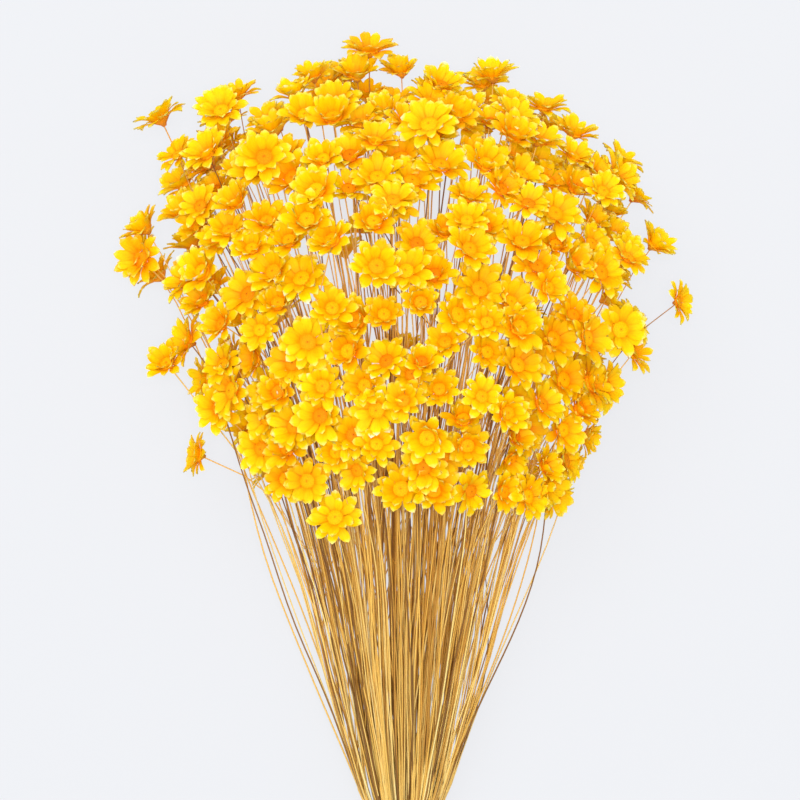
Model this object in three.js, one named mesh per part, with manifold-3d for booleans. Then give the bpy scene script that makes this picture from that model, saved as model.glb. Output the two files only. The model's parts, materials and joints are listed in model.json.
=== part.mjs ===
// A bunch of dried starflowers lying on a table: thin straw stems, each with one small papery star head, tied near
// their cut ends with a few turns of twine. Millimetres, +Z up, +Y from the cut ends to the crown.
// While the bunch is laid out, y = 0 is at the tie and the table is z = 0. The whole is then moved so that its
// origin lies on the table under the middle of its box.
import * as THREE from "three";
import { mergeVertices } from "three/addons/utils/BufferGeometryUtils.js";
import Module from "manifold-3d";

const wasm = await Module();
wasm.setup();

// Colours and finishes.
const PETAL = { color: 0xf8c416, roughness: 0.62, metalness: 0 };
const STRAW = { color: 0xc79c4e, roughness: 0.6, metalness: 0 };
const TWINE = { color: 0xa98a5c, roughness: 0.9, metalness: 0 };

// The axis of the bunch climbs from the tied stems to the middle of the crown.
const AXIS_LOW = 11.6;
const AXIS_CLIMB = 42;

// The crown, as the surface near which the middles of the heads lie.
const RIM_Y = 126; // the crown's lower edge, from the tie
const WIDE_Y = 198; // where it is widest
const CAP_HEIGHT = 60; // from there to its top
const HALF_WIDTH = 82;
const CONE_SLOPE = 0.48; // how fast the half width grows from the lower edge
const RISE = 0.7; // half height above the axis, for each mm of half width
const SINK = 0.61; // the same below it, where the bunch lies on the table
const SKEW = -0.07; // the crown's left side stands higher than its right
const CONE_SHARE = 0.45; // the part of the way over the crown that is on the cone
const SHELL = [0.82, 1.06]; // how deep and how far out heads lie, where the surface is 1

// The heads.
const SEED = 13;
const TRIES = 160000;
const CLUMP_TRIES = 12000; // the first of the tries start clumps
const CLUMPS = 58; // at most
const CLUMP_GAP = 23; // between the first heads of two clumps
const CLUMP_GAP_BELOW = 42; // the same on the underside
const CLUMP_SIZE = 10; // heads at most
const CLUMP_SIZE_BELOW = 3;
const HOLD = [8.6, 10.8]; // between the middles of two heads that hold together
const APART_IN_CLUMP = 10.6; // between other heads of one clump
const APART = 11.6; // between heads of different clumps
const FLANK = 0.45; // the flanks of the crown, seen from above, are those with less height over the axis
const APART_ON_FLANK = 14;
const HALF_GAP = 0.16; // half of what is left free between heads of different clumps
const HEAD = 12.6; // usual width across the petals
const HEAD_SPREAD = 0.3; // the share by which the widths differ
const PETALS = 5;
const MORE_TRIES = 60000; // the last of the tries fill gaps on the upper side
const MORE_HEADS = 40; // at most
const MORE_TURN = [Math.PI / 6, (Math.PI * 5) / 6]; // where round the axis of the bunch
const MORE_APART = 8.4; // between the middles of these and other upper heads, seen from above
const MORE_CLUMP_SIZE = 16;

// The stems.
const STEM = 0.7; // across
const TAIL = 52; // from the tie down to the cut ends
const TIED = 7.8; // radius of the tied bundle
const CORE_TOP = 30; // above the tie the stems part from each other here
const KNOTS = [26, 118]; // they bend here
const MORE_KNOTS = [26, 100, 158]; // or here, where that does not lead past the heads
const STRAY = [8, 22, 12]; // how far each bend may stray
const STEM_TRIES = 16; // for each of the two kinds
const IN_CORE = 0.9; // how much of the core's width they stand in
const CLEAR = 0.15; // between a passing stem's line and a head
const STEM_GAP = 0.83; // between the lines of two stems
const SEAT = 0.3; // between a stem's tip and its head
const PARTINGS = [16, 22, 30, 40, 52, 66]; // how far below a head another's stem may part from its stem
const PART_LENGTH = 3; // over which the other widens there
const PART_WIDTH = 0.2; // its share of the full width where it starts

const TAU = 2 * Math.PI;
const V = (x, y, z) => new THREE.Vector3(x, y, z);
const unit = (x, y, z) => V(x, y, z).normalize();
const clamp = (x, low, high) => Math.min(high, Math.max(low, x));
const between = ([low, high], share) => low + (high - low) * share;

// A row of numbers from 0 to 1, the same on each run.
function seeded(seed) {
  let state = seed;
  return () => {
    state = (Math.imul(state, 1664525) + 1013904223) >>> 0;
    return state / 2 ** 32;
  };
}

function axisHeight(y) {
  const t = clamp(y / WIDE_Y, 0, 1);
  return AXIS_LOW + AXIS_CLIMB * t * t * (3 - 2 * t);
}

// How far the outermost stems are from the axis of the bunch: first along it, then sideways.
const FLARE = [
  [-TAIL, 13],
  [-5, TIED],
  [5, TIED],
  [32, 17.6],
  [77, 26.5],
  [118, 36],
  [154, 47],
  [176, 57],
  [198, 70],
  [280, 106],
];
function spread(y) {
  const next = FLARE.findIndex(([at], i) => i > 0 && (y <= at || i === FLARE.length - 1));
  const [y0, r0] = FLARE[next - 1];
  const [y1, r1] = FLARE[next];
  return r0 + ((r1 - r0) * (y - y0)) / (y1 - y0);
}

// The same up and down: the round tied bundle flattens towards the crown.
const rise = (y, w) => spread(y) * (1 - (w > 0 ? 0.42 : 0.5) * clamp(y / 60, 0, 1));

// The stems' common flow: where the stem that stands at (u, w) in the bundle is at y. The bundle's outside is 1.
const flow = (u, w, y) => V(u * spread(y), y, axisHeight(y) + w * rise(y, w));

function placeInFlow(p) {
  const above = p.z - axisHeight(p.y);
  return [p.x / spread(p.y), above / rise(p.y, above)];
}

function keepWithin(p, limit) {
  const [u, w] = placeInFlow(p);
  const share = Math.min(1, limit / Math.hypot(u, w));
  return flow(u * share, w * share, p.y);
}

// A point of the crown: way runs from its lower edge (0) to its top (1) and turn goes round the axis.
function crownPoint(way, turn, depth) {
  const onCone = way < CONE_SHARE;
  const alpha = (((way - CONE_SHARE) / (1 - CONE_SHARE)) * Math.PI) / 2;
  const y0 = onCone ? between([RIM_Y, WIDE_Y], way / CONE_SHARE) : WIDE_Y + CAP_HEIGHT * Math.sin(alpha);
  const half = onCone ? HALF_WIDTH - CONE_SLOPE * (WIDE_Y - y0) : HALF_WIDTH * Math.cos(alpha);
  const up = Math.sin(turn);
  const x = half * Math.cos(turn) * depth;
  const y = onCone ? y0 : WIDE_Y + (y0 - WIDE_Y) * depth;
  const z = axisHeight(y) + half * (up > 0 ? RISE : SINK) * Math.sign(up) * Math.abs(up) ** 0.85 * depth;
  return V(x, y + SKEW * x, z);
}

// A head faces partly along the fan of the stems and partly out of the crown, and a little at random.
function headFace(at, draw) {
  const chance = V(draw() - 0.5, draw() - 0.5, draw() - 0.5);
  const fan = unit(at.x, at.y + 20, at.z - AXIS_LOW);
  const out = unit(at.x / 82 ** 2, (at.y - 180) / 80 ** 2, (at.z - 52) / 58 ** 2);
  const face = fan.multiplyScalar(0.7).add(out).addScaledVector(chance, 0.9);
  face.z = Math.max(face.z, -0.45 * Math.hypot(face.x, face.y));
  return face.normalize();
}

// Heads that stand out of the crown's outline or carry its underside, by eye: middle, width across, opening from 0
// (a cup) to 1 (a flat star), and the way they face.
const LOOSE = [
  [-78, 244, 62, 14.6, 0.9, -0.5, 0.85, -0.1],
  [-76, 166, 62, 12.2, 0.2, -0.45, 0.55, 0.7],
  [-67, 136, 50, 12.0, 0.8, -0.95, 0.15, 0.1],
  [-85, 199, 58, 14.0, 0.5, -0.6, 0.15, 0.75],
  [-59, 151, 66, 13.2, 0.6, -0.3, 0.05, 0.95],
  [-29, 257, 66, 11.8, 0.6, -0.25, 0.95, 0.15],
  [-17, 259, 52, 12.2, 0.3, 0.1, 0.97, 0.15],
  [-11, 266, 62, 14.4, 0.9, 0.0, 0.97, 0.2],
  [12, 254, 70, 12.6, 0.5, 0.25, 0.8, 0.45],
  [28, 258, 58, 13.0, 0.4, -0.15, 0.97, 0.15],
  [45, 248, 56, 12.8, 0.9, 0.1, 0.97, 0.1],
  [54, 239, 66, 12.6, 0.6, 0.3, 0.9, 0.2],
  [70, 231, 54, 12.2, 0.8, 0.5, 0.8, 0.1],
  [89, 185, 52, 10.6, 0.8, 0.85, 0.1, 0.25],
  [69, 176, 68, 14.2, 1.0, 0.35, 0.1, 0.95],
  [55, 151, 60, 12.6, 0.7, 0.5, 0.1, 0.8],
  [-22, 117, 68, 13.2, 0.9, -0.1, 0.35, 0.9],
  [-31, 128, 68, 12.6, 1.0, -0.25, 0.0, 0.95],
  [12, 136, 74, 13.0, 0.9, 0.1, -0.1, 0.98],
  [-46, 138, 64, 12.2, 0.8, -0.4, 0.0, 0.9],
  [-38, 190, 4.8, 12.6, 0.7, -0.35, 0.8, -0.1],
  [40, 184, 4.8, 12.6, 0.7, 0.35, 0.8, -0.1],
];

// The heads grow in clumps that hold together: first one head for each clump, well apart, and then more heads, from
// the crown's lower edge to its top, each at arm's length from a head of one clump and clear of the others. A head
// is kept where its stem can be led to it past all other heads and stems, and where no stem runs through it. A few
// more heads then fill gaps of the upper side, with stems that part from those of their neighbours.
function layHeads() {
  const draw = seeded(SEED);
  const heads = [];
  const sizes = [];
  const keep = (head, stem) => {
    if (!stem) return;
    head.room = roomOf(head);
    head.stem = stem;
    head.runs = runsOf(stem);
    head.clump ??= sizes.length;
    sizes[head.clump] = (sizes[head.clump] ?? 0) + 1;
    heads.push(head);
  };
  const lead = (head, key) => keep(head, leadStem(head, heads, seeded(key)));
  LOOSE.forEach(([x, y, z, size, open, ...face], i) =>
    lead({ at: V(x, y, z), radius: size / 2, open, face: unit(...face), spin: draw() * TAU }, i),
  );
  for (let i = 0; i < TRIES; i++) {
    const starts = i < CLUMP_TRIES;
    const progress = (i - CLUMP_TRIES) / (TRIES - CLUMP_TRIES) + 0.2 * (draw() - 0.5);
    const way = starts ? draw() : clamp(progress, 0, 1);
    const turn = draw() * TAU;
    const [at, radius] = throwHead(way, turn, draw);
    const below = Math.sin(turn) < -0.05;
    const most = below ? CLUMP_SIZE_BELOW : CLUMP_SIZE;
    const parent = starts ? undefined : holderOf(at, turn, heads, sizes, most);
    if (starts) {
      const least = Math.min(...heads.map((h) => h.at.distanceTo(at)));
      if (sizes.length >= CLUMPS || least < (below ? CLUMP_GAP_BELOW : CLUMP_GAP)) continue;
    } else if (!parent) continue;
    const face = headFace(at, draw);
    const head = { at, radius, open: draw(), face, spin: draw() * TAU, parent, clump: parent?.clump };
    lead(head, Math.imul(i + 1, 0x9e3779b1) >>> 0);
  }
  const most = heads.length + MORE_HEADS;
  for (let i = 0; i < MORE_TRIES && heads.length < most; i++) {
    const way = draw();
    const turn = between(MORE_TURN, draw());
    const [at, radius] = throwHead(way, turn, draw);
    const parent = holderOf(at, turn, heads, sizes, MORE_CLUMP_SIZE);
    const isOver = (h) => h.at.z > axisHeight(h.at.y) && Math.hypot(h.at.x - at.x, h.at.y - at.y) < MORE_APART;
    if (!parent || heads.some(isOver)) continue;
    const face = headFace(at, draw);
    const head = { at, radius, open: draw(), face, spin: draw() * TAU, parent, clump: parent.clump, parts: true };
    keep(head, partStem(head, heads));
  }
  heads.forEach((h) => {
    const others = heads.filter((other) => other.clump !== h.clump).map((other) => other.at.distanceTo(h.at));
    h.radius = Math.min(h.radius, Math.min(...others) / 2 - HALF_GAP);
  });
  return heads;
}

// The middle and radius of a head near the given place of the crown, and not below the table.
function throwHead(way, turn, draw) {
  const at = crownPoint(way, turn, between(SHELL, draw()));
  const radius = (HEAD / 2) * (1 + HEAD_SPREAD * (draw() - 0.5));
  at.z = Math.max(at.z, 0.8 * radius);
  return [at, radius];
}

// The nearest head, if it is at arm's length, in a clump that may still grow, and if all others are far enough.
function holderOf(at, turn, heads, sizes, most) {
  const far = heads.map((h) => h.at.distanceTo(at));
  const least = Math.min(...far);
  const parent = heads[far.indexOf(least)];
  if (least < HOLD[0] || least > HOLD[1] || sizes[parent.clump] >= most) return undefined;
  const apart = Math.abs(Math.sin(turn)) < FLANK ? APART_ON_FLANK : APART;
  const tooNear = (h, j) => h !== parent && far[j] < (h.clump === parent.clump ? APART_IN_CLUMP : apart);
  return heads.some(tooNear) ? undefined : parent;
}

const footOf = (h) => h.at.clone().addScaledVector(h.face, -0.5 * h.radius);

const stemEnd = (h) => footOf(h).addScaledVector(h.face, -SEAT);

// The corners of a head's stem: where it leaves the core, its bends, and the head. Each strays by chance.
function stemPath(head, draw, stray, knots) {
  const end = stemEnd(head);
  const [u, w] = placeInFlow(end);
  const out = Math.hypot(u, w);
  const corners = knots.map((y, k) => {
    const share = k ? Math.min(1, 1.2 / out) : IN_CORE / Math.max(1.3, out);
    const corner = flow(u * share, w * share, y);
    corner.x += STRAY[k] * stray * (draw() - 0.5);
    corner.z += STRAY[k] * stray * (draw() - 0.5);
    corner.z = Math.max(corner.z, STEM);
    return corner;
  });
  corners[0] = keepWithin(corners[0], IN_CORE);
  return [...corners.filter((p) => p.y < end.y - 10), end];
}

const runsOf = (stem) => stem.slice(1).map((p, k) => [stem[k], p]);

// The room that a head takes up: a wide ball round its petals and a narrow one round its foot.
const roomOf = ({ at, face, radius }) => [
  [at.clone().addScaledVector(face, 0.3 * radius), 0.8 * radius + CLEAR],
  [at.clone().addScaledVector(face, -0.15 * radius), 0.5 * radius + CLEAR],
];
const meets = (run, room) => room.some(([ball, radius]) => gap(...run, ball, ball) < radius);

const isInTheWay = (head, heads) => heads.some((h) => h.runs.some((run) => meets(run, roomOf(head))));

// A stem for this head that is clear of all others, or nothing.
function leadStem(head, heads, draw) {
  if (isInTheWay(head, heads)) return null;
  for (const knots of [KNOTS, MORE_KNOTS]) {
    for (let k = 0; k < STEM_TRIES; k++) {
      const stem = stemPath(head, draw, k / STEM_TRIES, knots);
      const runs = runsOf(stem);
      const isClear = (h) =>
        runs.every((run) => !meets(run, h.room) && h.runs.every((other) => gap(...run, ...other) > STEM_GAP));
      if (heads.every(isClear)) return stem;
    }
  }
  return null;
}

// A stem that runs down along its holder's: the two are one rod below the place where they part. This gives the
// part from there to the head, or nothing.
function partStem(head, heads) {
  if (isInTheWay(head, heads)) return null;
  const end = stemEnd(head);
  const [low, high] = head.parent.runs.at(-1);
  for (const down of PARTINGS.filter((d) => d < low.distanceTo(high))) {
    const from = high.clone().lerp(low, down / low.distanceTo(high));
    const run = [from, end];
    const isClear = (h) => h === head.parent || h.runs.every((other) => gap(...run, ...other) > STEM_GAP);
    if (from.y < end.y - 10 && heads.every((h) => !meets(run, h.room) && isClear(h))) return run;
  }
  return null;
}

// The least distance between the straight lines from a to b and from c to d.
function gap(a, b, c, d) {
  const [ux, uy, uz] = [b.x - a.x, b.y - a.y, b.z - a.z];
  const [vx, vy, vz] = [d.x - c.x, d.y - c.y, d.z - c.z];
  const [rx, ry, rz] = [a.x - c.x, a.y - c.y, a.z - c.z];
  const uu = ux * ux + uy * uy + uz * uz;
  const vv = vx * vx + vy * vy + vz * vz + 1e-9;
  const uv = ux * vx + uy * vy + uz * vz;
  const ur = ux * rx + uy * ry + uz * rz;
  const vr = vx * rx + vy * ry + vz * rz;
  const first = clamp((uv * vr - ur * vv) / Math.max(uu * vv - uv * uv, 1e-9), 0, 1);
  const t = clamp((uv * first + vr) / vv, 0, 1);
  const s = clamp((uv * t - ur) / uu, 0, 1);
  return Math.hypot(rx + s * ux - t * vx, ry + s * uy - t * vy, rz + s * uz - t * vz);
}

// A closed body from its corners and faces.
function body(corners, faces) {
  const geometry = new THREE.BufferGeometry();
  geometry.setAttribute("position", new THREE.Float32BufferAttribute(corners.flatMap((v) => v.toArray()), 3));
  geometry.setIndex(faces.flat());
  return solid(geometry);
}

function solid(geometry) {
  const bare = geometry.clone();
  bare.deleteAttribute("normal");
  bare.deleteAttribute("uv");
  const merged = mergeVertices(bare, 1e-4);
  return new wasm.Manifold(
    new wasm.Mesh({
      numProp: 3,
      vertProperties: merged.attributes.position.array,
      triVerts: new Uint32Array(merged.index.array),
    }),
  );
}

function geometryOf(shape) {
  const { vertProperties, triVerts } = shape.getMesh();
  const geometry = new THREE.BufferGeometry();
  geometry.setAttribute("position", new THREE.BufferAttribute(vertProperties, 3));
  geometry.setIndex(new THREE.BufferAttribute(triVerts, 1));
  return geometry;
}

// Without the slivers and closed hollows that a union can leave.
const biggest = (shape) => shape.decompose().reduce((a, b) => (b.volume() > a.volume() ? b : a));

// Faces between rings of the same number of corners, with flat ends.
function ringFaces(rings, count) {
  const faces = [];
  for (let k = 0; k < rings - 1; k++) {
    for (let n = 0; n < count; n++) {
      const a = k * count + n;
      const b = k * count + ((n + 1) % count);
      faces.push([a, b, b + count], [a, b + count, a + count]);
    }
  }
  const last = (rings - 1) * count;
  for (let n = 1; n < count - 1; n++) faces.push([0, n + 1, n], [last, last + n, last + n + 1]);
  return faces;
}

// A rod through the points, with a regular section, and with its own radius at the first point if that is given.
function rod(points, radius, sides, firstRadius = radius) {
  const corners = [];
  const last = points.length - 1;
  let side = unit(1, 0, 0.3);
  points.forEach((p, k) => {
    const along = points[Math.min(k + 1, last)].clone().sub(points[Math.max(k - 1, 0)]).normalize();
    side = side.clone().addScaledVector(along, -side.dot(along)).normalize();
    const other = along.clone().cross(side);
    for (let n = 0; n < sides; n++) {
      const a = (n / sides) * TAU;
      const out = side.clone().multiplyScalar(Math.cos(a)).addScaledVector(other, Math.sin(a));
      corners.push(p.clone().addScaledVector(out, k ? radius : firstRadius));
    }
  });
  return body(corners, ringFaces(points.length, sides));
}

// The tied bundle, where the stems are too close to tell apart: a fluted core that narrows at the tie.
const FLUTES = 18;
const FLUTE_DEPTH = 0.6;
const CORE_ENDS = [-TAIL + 6, -5, 5, CORE_TOP];
function core() {
  const count = 2 * FLUTES;
  const corners = CORE_ENDS.flatMap((y) =>
    Array.from({ length: count }, (_, n) => {
      const size = 1 - (n % 2 ? FLUTE_DEPTH : 0) / spread(y);
      const turn = (n / count) * TAU;
      return flow(size * Math.sin(turn), size * Math.cos(turn), y);
    }),
  );
  return body(corners, ringFaces(CORE_ENDS.length, count));
}

// The cut ends, which stand out of the core by different lengths.
const CUT_ENDS = 24;
function cutEnds() {
  const draw = seeded(SEED + 2);
  return Array.from({ length: CUT_ENDS }, (_, n) => {
    const r = 0.94 * Math.sqrt((n + 0.5) / CUT_ENDS);
    const [u, w] = [r * Math.cos(2.4 * n), r * Math.sin(2.4 * n)];
    return rod([flow(u, w, -TAIL + 12), flow(u, w, -TAIL + 4 - 8 * draw())], 0.65, 3);
  });
}

// A stem that parts from another starts as a point inside it.
function stemRod(h, extra) {
  const radius = STEM / Math.sqrt(3) + extra;
  if (!h.parts) return rod(h.stem, radius, 3);
  const [from, end] = h.stem;
  const wide = from.clone().lerp(end, PART_LENGTH / from.distanceTo(end));
  return rod([from, wide, end], radius, 3, PART_WIDTH * radius);
}

function buildStems(heads) {
  const whole = wasm.Manifold.union([core(), ...cutEnds(), ...heads.map((h) => stemRod(h, 0))]);
  return biggest(whole.trimByPlane([0, 0, 1], 0));
}

// One head: a star-shaped cup of pointed petals. Where it holds to a neighbour, one petal reaches into that
// neighbour's heart.
function buildHead(h) {
  const R = h.radius;
  const foot = footOf(h);
  const toward = h.parent ? h.parent.at.clone().sub(h.at) : V(Math.cos(h.spin), Math.sin(h.spin), 0.3);
  const side = toward.addScaledVector(h.face, -toward.dot(h.face)).normalize();
  const other = h.face.clone().cross(side);
  const point = (angle, out, up) =>
    foot
      .clone()
      .addScaledVector(side, R * out * Math.cos(angle))
      .addScaledVector(other, R * out * Math.sin(angle))
      .addScaledVector(h.face, R * up);
  const tip = [0.76 + 0.22 * h.open, 1.12 - 0.55 * h.open];
  const notch = [0.68, 0.86 - 0.4 * h.open];
  const corners = [foot, point(0, 0, 0.36)];
  for (let n = 0; n < 2 * PETALS; n++) corners.push(point((n / 2 / PETALS) * TAU, ...(n % 2 ? notch : tip)));
  if (h.parent) corners[2] = footOf(h.parent).addScaledVector(h.parent.face, 0.2 * h.parent.radius);
  const faces = [];
  for (let n = 0; n < 2 * PETALS; n++) {
    const a = 2 + n;
    const b = 2 + ((n + 1) % (2 * PETALS));
    faces.push([1, a, b], [0, b, a]);
  }
  return body(corners, faces).trimByPlane([0, 0, 1], 0);
}

// The heads of one clump in one body, cut back where a stem brushes past them.
function buildClump(members, heads) {
  const whole = wasm.Manifold.union(members.map(buildHead));
  const box = new THREE.Box3(V(...whole.boundingBox().min), V(...whole.boundingBox().max));
  const isNear = (h) => new THREE.Box3().setFromPoints(h.stem).intersectsBox(box);
  const touches = (h) => whole.intersect(stemRod(h, 0)).volume() > 0.003;
  const cutters = heads.filter((h) => isNear(h) && touches(h)).map((h) => stemRod(h, 0.5));
  return cutters.length ? biggest(whole.subtract(wasm.Manifold.union(cutters))) : whole;
}

// The twine: four turns round the bundle, a flat knot on top, and two short ends.
const TWINE_WIDTH = 2.2;
const TURNS = 4;
function buildTie() {
  const inner = TIED + 0.3;
  const low = (-TURNS * TWINE_WIDTH) / 2;
  const point = (r, y) => new THREE.Vector2(r, y);
  const profile = [point(inner, low)];
  for (let n = 0; n < TURNS; n++) {
    const y = low + n * TWINE_WIDTH;
    profile.push(point(inner + 1.2, y + 0.1), point(inner + TWINE_WIDTH, y + TWINE_WIDTH / 2));
  }
  profile.push(point(inner + 1.2, -low - 0.1), point(inner, -low), point(inner, low));
  const ring = new THREE.LatheGeometry(profile, 28);
  const knot = new THREE.SphereGeometry(2.6, 8, 6).scale(1.5, 1, 0.8).translate(0, 0, inner + TWINE_WIDTH + 0.6);
  const at = (x, y, z) => V(x, y, inner + z);
  const ends = [
    [at(0.5, 0, 2.4), at(7, 5, 3.2), at(12, 12, -1), at(14, 20, -4)],
    [at(-0.5, 0, 2.4), at(-8, 3, 3), at(-13, 1, -1.6), at(-17, -5, -7)],
  ];
  const parts = [solid(ring), solid(knot), ...ends.map((points) => rod(points, TWINE_WIDTH / 2, 5))];
  return wasm.Manifold.union(parts).translate([0, 0, AXIS_LOW]);
}

const bunch = new THREE.Group();
function add(name, shape, finish) {
  const mesh = new THREE.Mesh(geometryOf(shape), new THREE.MeshStandardMaterial(finish));
  mesh.name = name;
  bunch.add(mesh);
}

const heads = layHeads();
add("stems", buildStems(heads), STRAW);
add("tie", buildTie(), TWINE);
const clumps = Map.groupBy(heads, (h) => h.clump);
clumps.forEach((members, clump) =>
  add("heads_" + String(clump + 1).padStart(2, "0"), buildClump(members, heads), PETAL),
);

const box = new THREE.Box3().setFromObject(bunch);
bunch.position.set(-(box.min.x + box.max.x) / 2, -(box.min.y + box.max.y) / 2, -box.min.z);

export default bunch;
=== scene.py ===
import json
from math import cos, hypot, pi, sin, sqrt, tau

import bpy
import numpy as np
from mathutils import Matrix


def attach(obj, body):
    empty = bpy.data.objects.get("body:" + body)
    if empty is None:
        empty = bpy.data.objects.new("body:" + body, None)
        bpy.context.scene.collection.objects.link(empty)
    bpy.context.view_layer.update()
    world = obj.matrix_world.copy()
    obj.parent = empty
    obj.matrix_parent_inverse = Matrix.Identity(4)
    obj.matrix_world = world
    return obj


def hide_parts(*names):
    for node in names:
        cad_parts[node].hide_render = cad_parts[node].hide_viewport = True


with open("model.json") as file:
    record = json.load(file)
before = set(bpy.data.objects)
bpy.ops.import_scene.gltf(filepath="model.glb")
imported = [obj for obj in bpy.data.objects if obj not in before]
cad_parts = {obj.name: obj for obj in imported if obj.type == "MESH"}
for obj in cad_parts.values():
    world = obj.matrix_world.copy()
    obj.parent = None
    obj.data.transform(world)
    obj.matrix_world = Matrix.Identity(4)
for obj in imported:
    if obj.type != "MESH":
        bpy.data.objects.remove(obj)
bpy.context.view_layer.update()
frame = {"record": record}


# The bundle: more than 400 stems, cut and dried, gathered in the hand and tied near their cut ends. They
# fan out from the tie to the crown of flowers, and the whole lies on its side. Lengths are in millimetres
# from the tie, with z = 0 at the table, until a mesh is made.
REST_BELOW_TIE = 44.0
TAIL = 52.0
TIED = 7.8
AXIS_LOW = 11.6
AXIS_CLIMB = 42.0
WIDE_Y = 198.0
FLARE_AT = [-TAIL, -5, 5, 32, 77, 118, 154, 176, 198, 280]
FLARE = [13, TIED, TIED, 17.6, 26.5, 36, 47, 57, 70, 106]
FLATTER = [0.42, 0.5]  # above and below the axis, reached at FLAT_Y
FLAT_Y = 60
rest = frame["record"]["mounts"][0]["pos_m"]
TIE_IN_FRAME = np.array([rest[0], rest[1] + REST_BELOW_TIE / 1000, 0.0])


def axis_height(y):
    """The axis climbs from the tie to the crown's widest part as a smooth step, 3t^2 - 2t^3."""
    t = np.clip(y / WIDE_Y, 0, 1)
    return AXIS_LOW + AXIS_CLIMB * t * t * (3 - 2 * t)


def spread(y):
    """Half the bundle's width at y: straight lines between the widths in FLARE."""
    return np.interp(y, FLARE_AT, FLARE)


def rise(y, w):
    """Half the bundle's height at y: its half width, flattened evenly more up to FLAT_Y."""
    return spread(y) * (1 - np.where(w > 0, *FLATTER) * np.clip(y / FLAT_Y, 0, 1))


def flow(u, w, y):
    """Where the stem at (u, w) is at y: u half widths across and w half heights up."""
    return np.stack(np.broadcast_arrays(u * spread(y), y, axis_height(y) + w * rise(y, w)), -1)


def place_in_flow(p):
    """The (u, w) for which flow gives the point p."""
    above = p[..., 2] - axis_height(p[..., 1])
    return p[..., 0] / spread(p[..., 1]), above / rise(p[..., 1], above)


# The crown: some 270 flower heads near one surface, a flattened cone with half an egg on it. They are
# thrown at it like darts, in clumps, and one stays where its stem can be led to it past all others.
SEED = 13
FACTOR, ADDEND, MODULUS = 1664525, 1013904223, 2**32
KEY_STEP = 0x9E3779B1


def seeded(seed):
    """A row of numbers from 0 to 1: each is the last one times FACTOR plus ADDEND, modulo MODULUS."""
    state = seed

    def draw():
        nonlocal state
        state = (state * FACTOR + ADDEND) % MODULUS
        return state / MODULUS

    return draw


def leaps(count):
    """Factors and addends that lead from a seed straight to each of its first numbers."""
    rows = [(FACTOR, ADDEND)]
    for _ in range(count - 1):
        factor, addend = rows[-1]
        rows.append((factor * FACTOR % MODULUS, (addend * FACTOR + ADDEND) % MODULUS))
    return np.array(rows, np.uint64).T


def unit(v):
    """The vectors v at length 1."""
    return v / np.linalg.norm(v, axis=-1, keepdims=True)


RIM_Y = 126.0
CAP_HEIGHT = 60.0
HALF_WIDTH = 82.0
CONE_SLOPE = 0.48
CONE_SHARE = 0.45
RISE, SINK = 0.7, 0.61
ROUNDER = 0.85
SKEW = -0.07


def crown_point(way, turn, depth):
    """way runs from the crown's lower edge (0) to its top (1), turn goes round its axis, and depth 1 is its
    skin: the half width grows in a straight line up the cone, and falls as a cosine over the egg."""
    if way < CONE_SHARE:
        y = RIM_Y + (WIDE_Y - RIM_Y) * (way / CONE_SHARE)
        half = HALF_WIDTH - CONE_SLOPE * (WIDE_Y - y)
    else:
        alpha = (way - CONE_SHARE) / (1 - CONE_SHARE) * pi / 2
        half = HALF_WIDTH * cos(alpha)
        y = WIDE_Y + CAP_HEIGHT * sin(alpha) * depth
    up = sin(turn)
    x = half * cos(turn) * depth
    high = half * (RISE if up > 0 else SINK) * (1 if up > 0 else -1) * abs(up) ** ROUNDER * depth
    t = min(1, y / WIDE_Y)
    return x, y + SKEW * x, AXIS_LOW + AXIS_CLIMB * t * t * (3 - 2 * t) + high


SHELL = [0.82, 1.06]  # the depths between which the heads' middles lie
HEAD = 12.6
HEAD_SPREAD = 0.3
LOWEST = 0.8  # of its radius above the table


def thrown(way, turn, draw):
    """The middle and radius of a head near this place of the crown, and not below the table."""
    at = np.array(crown_point(way, turn, SHELL[0] + (SHELL[1] - SHELL[0]) * draw()))
    radius = HEAD / 2 * (1 + HEAD_SPREAD * (draw() - 0.5))
    at[2] = max(at[2], LOWEST * radius)
    return at, radius


FAN_FROM = np.array([0, -20, AXIS_LOW])
EGG_MIDDLE = np.array([0, 180, 52])
EGG_SIZE = np.array([82.0, 80.0, 58.0])
ALONG_FAN = 0.7
AT_RANDOM = 0.9
DROOP = 0.45


def head_face(at, draw):
    """A head faces partly along the fan of the stems, partly out of the crown, and a little at random."""
    chance = np.array([draw() - 0.5, draw() - 0.5, draw() - 0.5])
    face = ALONG_FAN * unit(at - FAN_FROM) + unit((at - EGG_MIDDLE) / EGG_SIZE**2) + AT_RANDOM * chance
    face[2] = max(face[2], -DROOP * hypot(face[0], face[1]))
    return unit(face)


def gap_to_points(a, b, p):
    """The least distance from each of the points p to each line from a to b: to its foot on the line, kept
    between the line's ends. It is worked out from dot products alone."""
    u = b - a
    uu = (u * u).sum(-1)[..., None]
    up = u @ p.T - (u * a).sum(-1)[..., None]
    pp = (a * a).sum(-1)[..., None] + (p * p).sum(-1) - 2 * (a @ p.T)
    s = np.minimum(np.maximum(up / uu, 0), 1)
    return np.sqrt(pp + s * (s * uu - 2 * up))


TINY = 1e-9  # keeps parallel lines from dividing by 0


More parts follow.
